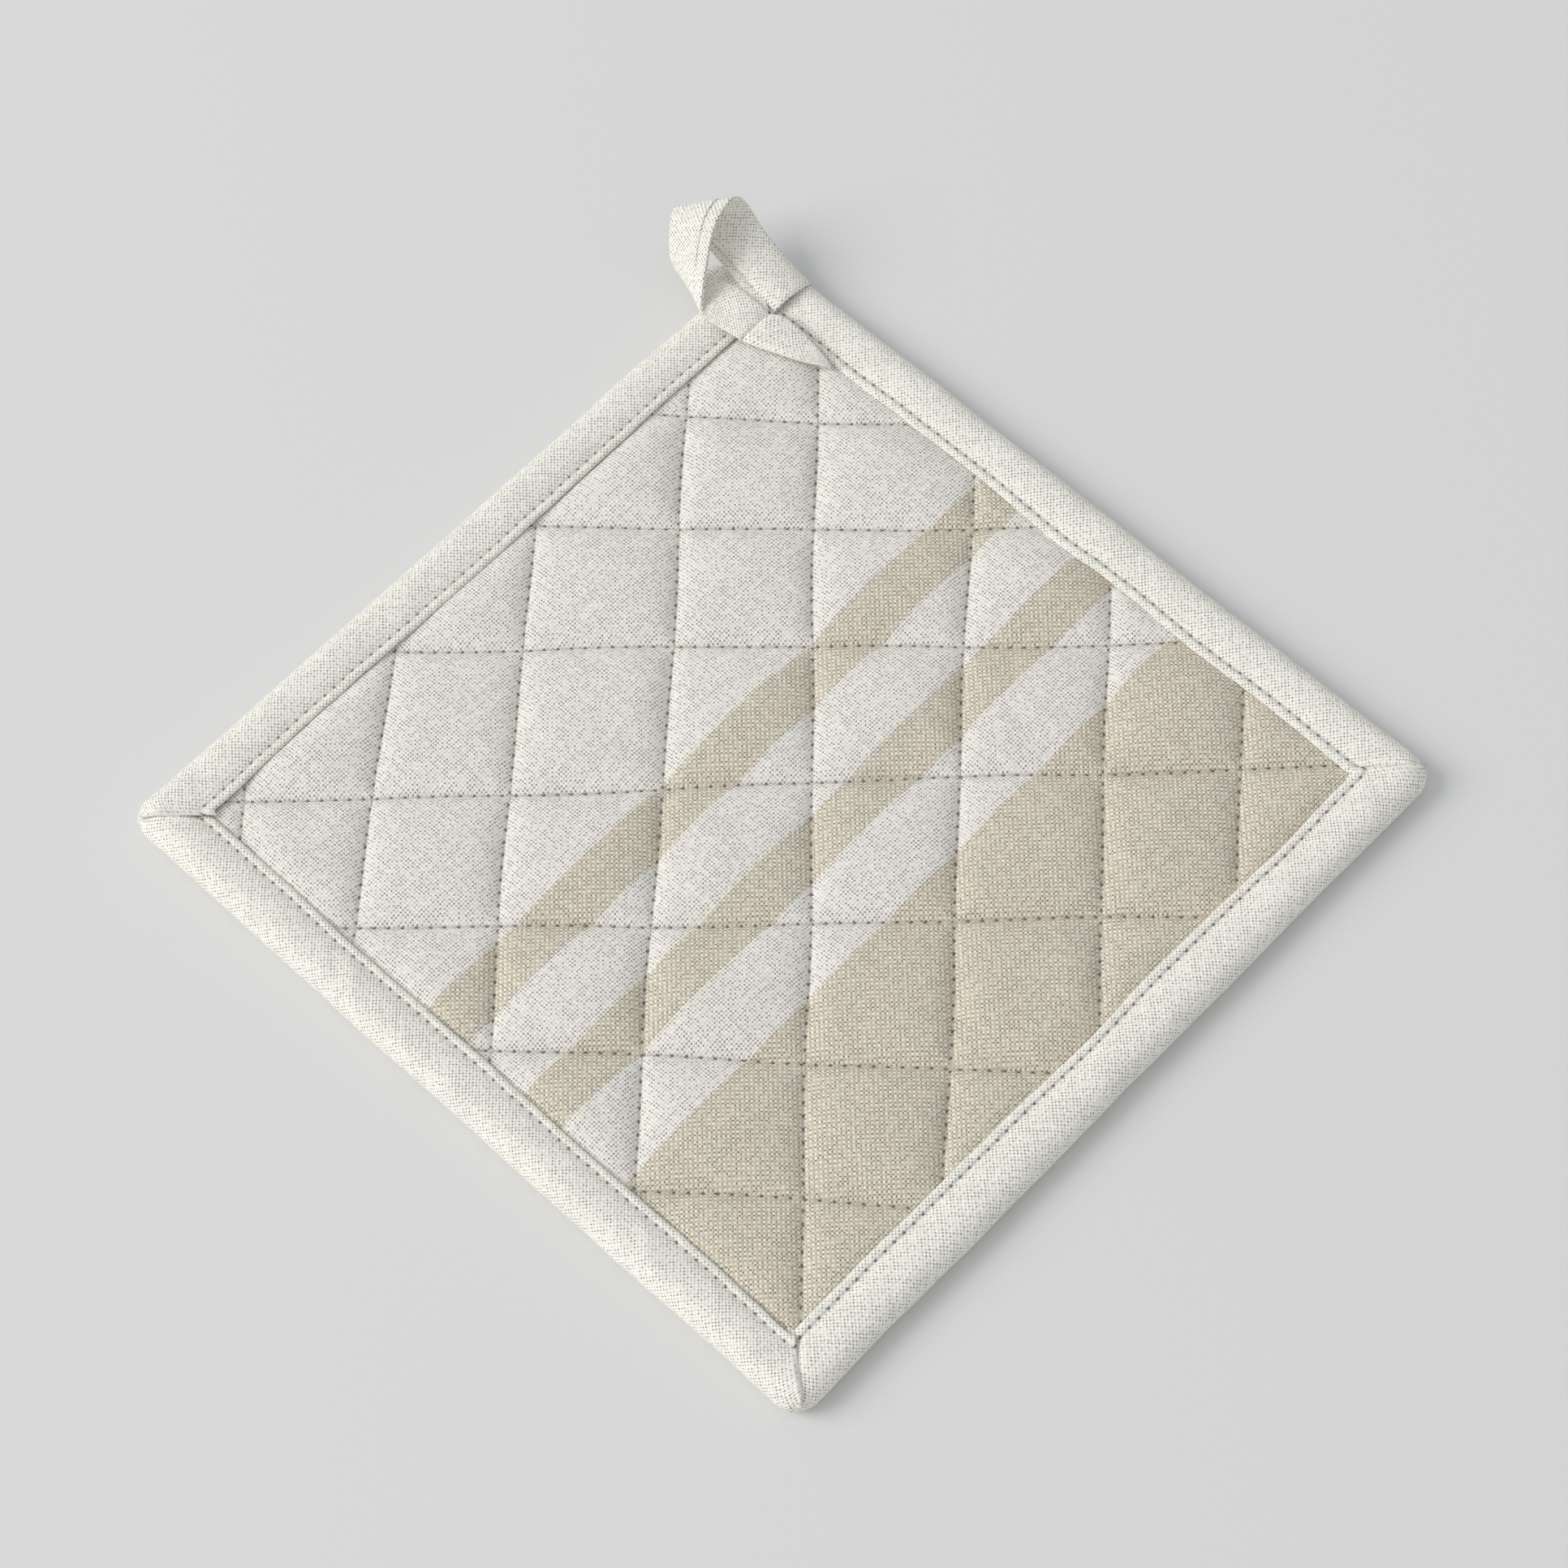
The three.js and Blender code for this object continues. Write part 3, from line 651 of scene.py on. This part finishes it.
def seam_stitches(table, outer, by_row):
    """Middle and direction of every stitch of the quilting lines of one direction."""
    places, directions = [], []
    for k in range(len(table)):
        along = (np.arange(-50, 50) + 0.5) * STITCH_PITCH
        across = lines(table, outer, along)[k + 1]
        ahead = lines(table, outer, along + 0.5)[k + 1] - lines(table, outer, along - 0.5)[k + 1]
        x, y = (along, across) if by_row else (across, along)
        inside = side_distance(x, y) > TUCK_INSET + 1.0
        step = np.column_stack([np.ones_like(ahead), ahead] if by_row else [ahead, np.ones_like(ahead)])
        places.append(np.column_stack([x, y])[inside])
        directions.append(step[inside])
    return np.vstack(places), np.vstack(directions)


def quilting_thread(name, by_row, surface, sunk, up):
    """All the stitches of one direction on one face, sunk a little into the cloth."""
    table, outer = (ROWS, OUTER_ROWS) if by_row else (COLUMNS, OUTER_COLUMNS)
    flat, step = seam_stitches(table, outer, by_row)
    z = surface(flat[:, 0], flat[:, 1]) + sunk
    places = np.column_stack([flat, z])
    directions = np.column_stack([step, np.zeros(len(step))])
    return stitch_mesh(name, places, directions, np.tile([0.0, 0.0, up], (len(flat), 1)), QUILTING_STITCH)


row_thread = quilting_thread("quilting_thread_rows", True, front_top, -0.02, 1)
column_thread = quilting_thread("quilting_thread_columns", False, front_top, -0.06, 1)
bobbin_rows = quilting_thread("bobbin_thread_rows", True, back_bottom, -0.04, -1)
bobbin_columns = quilting_thread("bobbin_thread_columns", False, back_bottom, 0.0, -1)


def binding_thread(name, place, up):
    """The line of stitches that closes the binding, just outside its inner lip."""
    inset, height = place
    count = math.floor((HALF_SIDE - inset - 2.0) / TOPSTITCH_PITCH)
    along = (np.arange(-count, count) + 0.5) * TOPSTITCH_PITCH
    points, steps, ups = [], [], []
    for run in RUNS:
        here = along[along < HALF_SIDE + LOOP_SEAM - 1] if run == "upper_right" and up > 0 else along
        if run == "upper_left" and up > 0:
            here = along[along > -HALF_SIDE + LOOP_COVER]
        insets, heights = np.full(here.shape, inset), np.full(here.shape, height)
        before = run_point(run, here - 0.4, insets, heights)
        after = run_point(run, here + 0.4, insets, heights)
        points.append((before + after) / 2)
        steps.append(after - before)
        ups.append(np.tile([0.0, 0.0, up], (len(here), 1)))
    return stitch_mesh(name, np.vstack(points), np.vstack(steps), np.vstack(ups), BINDING_STITCH)


binding_thread_front = binding_thread("binding_thread_front", TOP_STITCH, 1)
binding_thread_back = binding_thread("binding_thread_back", BACK_STITCH, -1)

tack_in = np.array([3.6, 6.2, 8.9, 11.3, 14.6, 17.3, 20.1, 22.7])
tack_height = np.array([7.75, 8.0, 7.95, 7.85, 8.15, 8.2, 8.15, 7.95])
tack_places = loop_frame(np.column_stack([np.full(8, TACK_LINE), tack_in, tack_height]))
tack_thread = stitch_mesh(
    "loop_tack_thread_stitches",
    tack_places,
    np.tile(LOOP_IN, (8, 1)),
    np.tile([0.0, 0.0, 1.0], (8, 1)),
    TACK_STITCH,
)

# ---- Materials ----


class Nodes:
    """Builds a node material with plain calls. A value may be a number, a colour or another node's output."""

    def __init__(self, name):
        self.material = bpy.data.materials.new(name)
        self.material.use_nodes = True
        self.tree = self.material.node_tree
        self.shader = self.tree.nodes["Principled BSDF"]

    def put(self, socket, value):
        if isinstance(value, bpy.types.NodeSocket):
            self.tree.links.new(value, socket)
        elif hasattr(value, "__len__") and len(value) == 3 and socket.type == "RGBA":
            socket.default_value = (*value, 1)
        else:
            socket.default_value = value

    def node(self, kind, **settings):
        made = self.tree.nodes.new(kind)
        for key, value in settings.items():
            setattr(made, key, value)
        return made

    def math(self, operation, *values):
        made = self.node("ShaderNodeMath", operation=operation)
        for socket, value in zip(made.inputs, values):
            self.put(socket, value)
        return made.outputs[0]

    def add(self, *values):
        total = values[0]
        for value in values[1:]:
            total = self.math("ADD", total, value)
        return total

    def times(self, *values):
        total = values[0]
        for value in values[1:]:
            total = self.math("MULTIPLY", total, value)
        return total

    def less(self, a, b):
        return self.math("SUBTRACT", a, b)

    def ramp(self, value, low, high):
        """0 below low, 1 above high, smooth between. low may be above high."""
        made = self.node("ShaderNodeMapRange", interpolation_type="SMOOTHSTEP", clamp=True)
        self.put(made.inputs["Value"], value)
        flip = low > high
        made.inputs["From Min"].default_value = min(low, high)
        made.inputs["From Max"].default_value = max(low, high)
        made.inputs["To Min"].default_value = 1.0 if flip else 0.0
        made.inputs["To Max"].default_value = 0.0 if flip else 1.0
        return made.outputs["Result"]

    def vector(self, x=0.0, y=0.0, z=0.0):
        made = self.node("ShaderNodeCombineXYZ")
        for socket, value in zip(made.inputs, (x, y, z)):
            self.put(socket, value)
        return made.outputs[0]

    def split(self, value):
        made = self.node("ShaderNodeSeparateXYZ")
        self.put(made.inputs[0], value)
        return made.outputs

    def stored(self, key):
        return self.node("ShaderNodeAttribute", attribute_name=key).outputs["Vector"]

    def noise(self, vector, scale, detail=2.0):
        made = self.node("ShaderNodeTexNoise")
        self.put(made.inputs["Vector"], vector)
        made.inputs["Scale"].default_value = scale
        made.inputs["Detail"].default_value = detail
        return made.outputs["Fac"]

    def random(self, vector):
        made = self.node("ShaderNodeTexWhiteNoise", noise_dimensions="3D")
        self.put(made.inputs["Vector"], vector)
        return made.outputs["Value"]

    def mix(self, share, a, b):
        made = self.node("ShaderNodeMix", data_type="RGBA")
        self.put(made.inputs["Factor"], share)
        self.put(made.inputs[6], a)
        self.put(made.inputs[7], b)
        return made.outputs[2]

    def shade(self, colour, amount):
        """A colour multiplied by a number."""
        made = self.node("ShaderNodeVectorMath", operation="SCALE")
        self.put(made.inputs[0], colour)
        self.put(made.inputs["Scale"], amount)
        return made.outputs[0]

    def bump(self, height, strength, distance):
        made = self.node("ShaderNodeBump")
        made.inputs["Strength"].default_value = strength
        made.inputs["Distance"].default_value = distance
        self.put(made.inputs["Height"], height)
        self.put(self.shader.inputs["Normal"], made.outputs[0])

    def finish(self, colour, roughness, sheen=0.0):
        self.put(self.shader.inputs["Base Color"], colour)
        self.put(self.shader.inputs["Roughness"], roughness)
        self.shader.inputs["Specular IOR Level"].default_value = 0.25
        self.shader.inputs["Sheen Weight"].default_value = sheen
        self.shader.inputs["Sheen Roughness"].default_value = 0.6
        return self.material


def linear(red, green, blue):
    """A screen colour from 0 to 255 as the linear colour that a shader takes."""
    values = [c / 255 for c in (red, green, blue)]
    return tuple(c / 12.92 if c <= 0.04045 else ((c + 0.055) / 1.055) ** 2.4 for c in values)


YARN_PITCH = 0.7
YARN_DRIFT = 0.22
STRIPES = [(-20.4, -8.6), (8.5, 19.8), (37.6, 130.0)]
STRIPE_LEAN = -0.0145
STRIPE_BLUR = 0.3
WEFT_TINT = 0.28
# Colour of the painted shade in the cloth's pinholes, needle holes and seam grooves.
PAINTED_SHADE_COLOUR = linear(84, 74, 62)


def woven(name, light, deep, stripes=False, pinhole_shade=0.6, pitch=STITCH_PITCH):
    """Plain-weave cloth: yarns crossing over and under, uneven yarns, slubs, and painted light: the yarn tops
    painted lighter than their sides, and painted shade in the pinholes between the yarns and in the needle
    holes and grooves of the seams.
    """
    n = Nodes(name)
    place = n.stored("yarn")
    warp_at, weft_at, _ = n.split(place)
    drift = n.less(n.noise(place, 0.9, 1.0), 0.5)
    across = n.math("DIVIDE", n.add(warp_at, n.times(drift, YARN_DRIFT)), YARN_PITCH)
    along = n.math("DIVIDE", n.less(weft_at, n.times(drift, YARN_DRIFT)), YARN_PITCH)
    warp_index, weft_index = n.math("FLOOR", across), n.math("FLOOR", along)
    warp_side = n.less(n.less(across, warp_index), 0.5)
    weft_side = n.less(n.less(along, weft_index), 0.5)
    warp_over = n.math("FLOORED_MODULO", n.add(warp_index, weft_index), 2.0)
    warp_round = n.less(1.0, n.times(warp_side, warp_side, 4.0))
    weft_round = n.less(1.0, n.times(weft_side, weft_side, 4.0))
    warp_top = n.times(warp_round, n.add(0.55, n.times(weft_round, 0.45)))
    weft_top = n.times(weft_round, n.add(0.55, n.times(warp_round, 0.45)))
    height = n.add(n.times(warp_top, warp_over), n.times(weft_top, n.less(1.0, warp_over)))
    corner = n.vector(n.math("ROUND", across), n.math("ROUND", along), 3.0)
    # The pinholes between the yarns: a dip in the bump, and painted shade in the colour further down.
    pinhole = n.times(n.less(1.0, warp_round), n.less(1.0, weft_round))
    pinhole = n.times(n.ramp(pinhole, 0.06, 0.42), n.ramp(n.random(corner), 0.1, 0.9))
    warp_tone = n.random(n.vector(warp_index, 1.0, 0.0))
    weft_tone = n.random(n.vector(weft_index, 2.0, 0.0))
    slub_warp = n.noise(n.vector(n.times(warp_index, 3.7), n.times(along, 0.07), 0.0), 1.0, 1.0)
    slub_weft = n.noise(n.vector(n.times(weft_index, 3.1), n.times(across, 0.07), 9.0), 1.0, 1.0)
    warp_tone = n.add(n.times(warp_tone, 0.1), n.times(slub_warp, 0.3))
    weft_tone = n.add(n.times(weft_tone, 0.1), n.times(slub_weft, 0.3))
    tone = n.add(n.times(warp_tone, warp_over), n.times(weft_tone, n.less(1.0, warp_over)))
    blotch = n.noise(place, 0.09, 3.0)
    fleck = n.ramp(n.noise(n.vector(n.times(across, 0.8), n.times(along, 0.8), 4.0), 0.5, 0.0), 0.68, 0.8)
    # Painted shading: the yarn height brightens the colour, so yarn tops are painted lighter than where they
    # dip under; the rest of this brightness is the yarns' random tone, blotches and flecks.
    amount = n.add(0.71, tone, n.times(blotch, 0.06), n.times(height, 0.16), n.times(fleck, 0.06))
    warp_colour, weft_colour = light, light
    if stripes:
        edge = n.add(warp_at, n.times(n.less(n.noise(place, 0.05, 1.0), 0.5), 1.0))
        edge = n.less(edge, n.times(weft_at, STRIPE_LEAN))
        inside = 0.0
        for low, high in STRIPES:
            opened = n.ramp(edge, low - STRIPE_BLUR, low + STRIPE_BLUR)
            band = n.times(opened, n.ramp(edge, high + STRIPE_BLUR, high - STRIPE_BLUR))
            inside = n.math("MAXIMUM", inside, band)
        warp_colour = n.mix(inside, light, deep)
        weft_colour = n.mix(n.times(inside, WEFT_TINT), light, deep)
    colour = n.mix(warp_over, weft_colour, warp_colour)
    colour = n.shade(colour, amount)
    # Painted shade: the colour is darkened in the pinholes, by the pinhole shade amount.
    painted_shade = n.times(pinhole, pinhole_shade)
    row_gap, column_gap, _ = n.split(n.stored("seam"))
    x, y, _ = n.split(n.stored("place"))
    # Painted shade in the needle holes along each sewn line, and a lighter painted shade along the groove of
    # the seam itself.
    for gap, position in ((row_gap, x), (column_gap, y)):
        phase = n.math("PINGPONG", n.add(position, 100 * pitch), pitch / 2)
        hole = n.times(n.ramp(gap, 0.5, 0.12), n.ramp(phase, 0.62, 0.2))
        painted_shade = n.math("MAXIMUM", painted_shade, n.times(hole, 0.85))
        painted_shade = n.math("MAXIMUM", painted_shade, n.times(n.ramp(gap, 0.6, 0.1), 0.22))
    # Painted shade: the colour is pulled towards the shade colour in the pinholes, needle holes and seam
    # grooves.
    colour = n.mix(painted_shade, colour, PAINTED_SHADE_COLOUR)
    n.bump(n.add(height, n.times(pinhole, -0.6)), 0.7, 0.00016)
    return n.finish(colour, n.add(0.84, n.times(blotch, 0.08)), sheen=0.12)


def thread(name, colour):
    """Sewing thread: plies twisted together, with painted highlight on each ply's raised crest and painted
    shade in the grooves of the twist.
    """
    n = Nodes(name)
    along, around, _ = n.split(n.stored("yarn"))
    ply = n.math("SINE", n.add(n.times(along, 9.0), n.times(around, 8.0)))
    # Painted highlight: the colour follows the ply relief of the bump, lighter on the crests and darker in
    # the grooves.
    tone = n.add(0.92, n.times(ply, 0.08))
    n.bump(ply, 0.4, 0.00006)
    return n.finish(n.shade(colour, tone), n.add(0.7, n.times(ply, 0.03)), sheen=0.1)


def wool(name):
    """Loose wadding fibre."""
    n = Nodes(name)
    place = n.stored("place")
    tuft = n.noise(place, 1.4, 5.0)
    n.bump(tuft, 0.5, 0.0004)
    colour = n.shade(linear(236, 233, 224), n.add(0.85, n.times(tuft, 0.25)))
    return n.finish(colour, n.add(0.9, n.times(tuft, 0.05)))


def paper(name):
    """The plain pale surface it lies on."""
    n = Nodes(name)
    place = n.node("ShaderNodeTexCoord").outputs["Object"]
    grain = n.noise(place, 900.0, 3.0)
    n.bump(grain, 0.12, 0.0002)
    colour = n.shade(linear(228, 228, 228), n.add(0.985, n.times(grain, 0.03)))
    return n.finish(colour, n.add(0.8, n.times(grain, 0.05)))


PANEL = linear(239, 236, 229)
BEIGE = linear(207, 196, 172)
BINDING = linear(247, 245, 236)
front_material = woven("printed_panel_cloth", PANEL, BEIGE, stripes=True, pinhole_shade=0.85)
back_material = woven("plain_panel_cloth", PANEL, BEIGE, pinhole_shade=0.85)
binding_material = woven("bias_binding_cloth", BINDING, BEIGE, pinhole_shade=0.7, pitch=TOPSTITCH_PITCH)
quilting_material = thread("quilting_sewing_thread", linear(214, 209, 197))
topstitch_material = thread("binding_sewing_thread", linear(226, 223, 213))
wadding_material = wool("wadding_fibre")

# ---- What each piece is, what it stands for and how it moves ----


def both_halves(stem):
    return [stem + "_upper", stem + "_lower"]


PIECES = [
    (front_cloth, front_material, "front_cloth", both_halves("front_panel")),
    (back_cloth, back_material, "back_cloth", both_halves("back_panel")),
    (wadding, wadding_material, "wadding", both_halves("wadding")),
    (row_thread, quilting_material, "quilting_thread", [f"quilting_thread_row_{k}" for k in range(1, 8)]),
    (
        column_thread,
        quilting_material,
        "quilting_thread",
        [node for k in range(1, 9) for node in both_halves(f"quilting_thread_column_{k}")],
    ),
    (bobbin_rows, quilting_material, "quilting_thread", ["bobbin_threads_upper", "bobbin_threads_lower"]),
    (bobbin_columns, quilting_material, "quilting_thread", []),
    *(
        (piece, topstitch_material, "binding_thread", [f"binding_thread_{face}_{run}" for run in RUNS])
        for face, piece in (("front", binding_thread_front), ("back", binding_thread_back))
    ),
]
PIECES += [(piece, binding_material, "binding_cloth", ["binding_" + run]) for run, piece in bindings.items()]

for piece, material, slot, nodes in PIECES:
    piece.data.materials.append(material)
    if nodes:
        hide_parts(*nodes)
    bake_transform(piece)

for piece, slot, node, material in (
    (end_tab, "binding_cloth", "loop_end_tab", binding_material),
    (tack_thread, "binding_thread", "loop_tack_thread", topstitch_material),
):
    piece.data.materials.append(material)
    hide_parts(node)
    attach(piece, "upper_half")

hanging_loop.data.materials.append(binding_material)
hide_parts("hanging_loop")
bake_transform(hanging_loop)

# ---- Floor, light and camera ----

bpy.ops.mesh.primitive_grid_add(x_subdivisions=8, y_subdivisions=8, size=6, location=(0, 0, -0.0001))
floor = bpy.context.object
floor.name = "floor"
floor.data.materials.append(paper("pale_floor"))

bpy.context.scene.view_settings.view_transform = "Standard"
world_light = bpy.data.worlds.new("studio")
world_light.use_nodes = True
world_light.node_tree.nodes["Background"].inputs["Color"].default_value = (0.97, 0.985, 1, 1)
world_light.node_tree.nodes["Background"].inputs["Strength"].default_value = 0.55
bpy.context.scene.world = world_light


def softbox(name, place, target, size, power, colour):
    data = bpy.data.lights.new(name, "AREA")
    data.shape = "RECTANGLE"
    data.size, data.size_y = size
    data.energy = power
    data.color = colour
    lamp = bpy.data.objects.new(name, data)
    lamp.location = place
    lamp.rotation_euler = (Vector(target) - Vector(place)).to_track_quat("-Z", "Y").to_euler()
    bpy.context.scene.collection.objects.link(lamp)


softbox("key_light", (-3.4, -0.3, 2.6), (0, 0, 0), (2.6, 2.6), 112, (1, 0.985, 0.965))

LENS = 100
DISTANCE = 0.943
AZIMUTH, ELEVATION, ROLL = math.radians(2.26), math.radians(62.4), math.radians(-4)
TARGET = Vector((0.0007, (PAD_Y + 5.1) / 1000, 0))
level = Vector((math.cos(AZIMUTH), math.sin(AZIMUTH), 0))
back = Vector((level.y * math.cos(ELEVATION), -level.x * math.cos(ELEVATION), math.sin(ELEVATION)))
right = level * math.cos(ROLL) + back.cross(level) * math.sin(ROLL)
above = back.cross(right)
camera_data = bpy.data.cameras.new("camera")
camera_data.lens = LENS
camera_data.sensor_width = 36
camera = bpy.data.objects.new("camera", camera_data)
turn = Matrix((right, above, back)).transposed().to_4x4()
camera.matrix_world = Matrix.Translation(TARGET + back * DISTANCE) @ turn
bpy.context.scene.collection.objects.link(camera)
bpy.context.scene.camera = camera
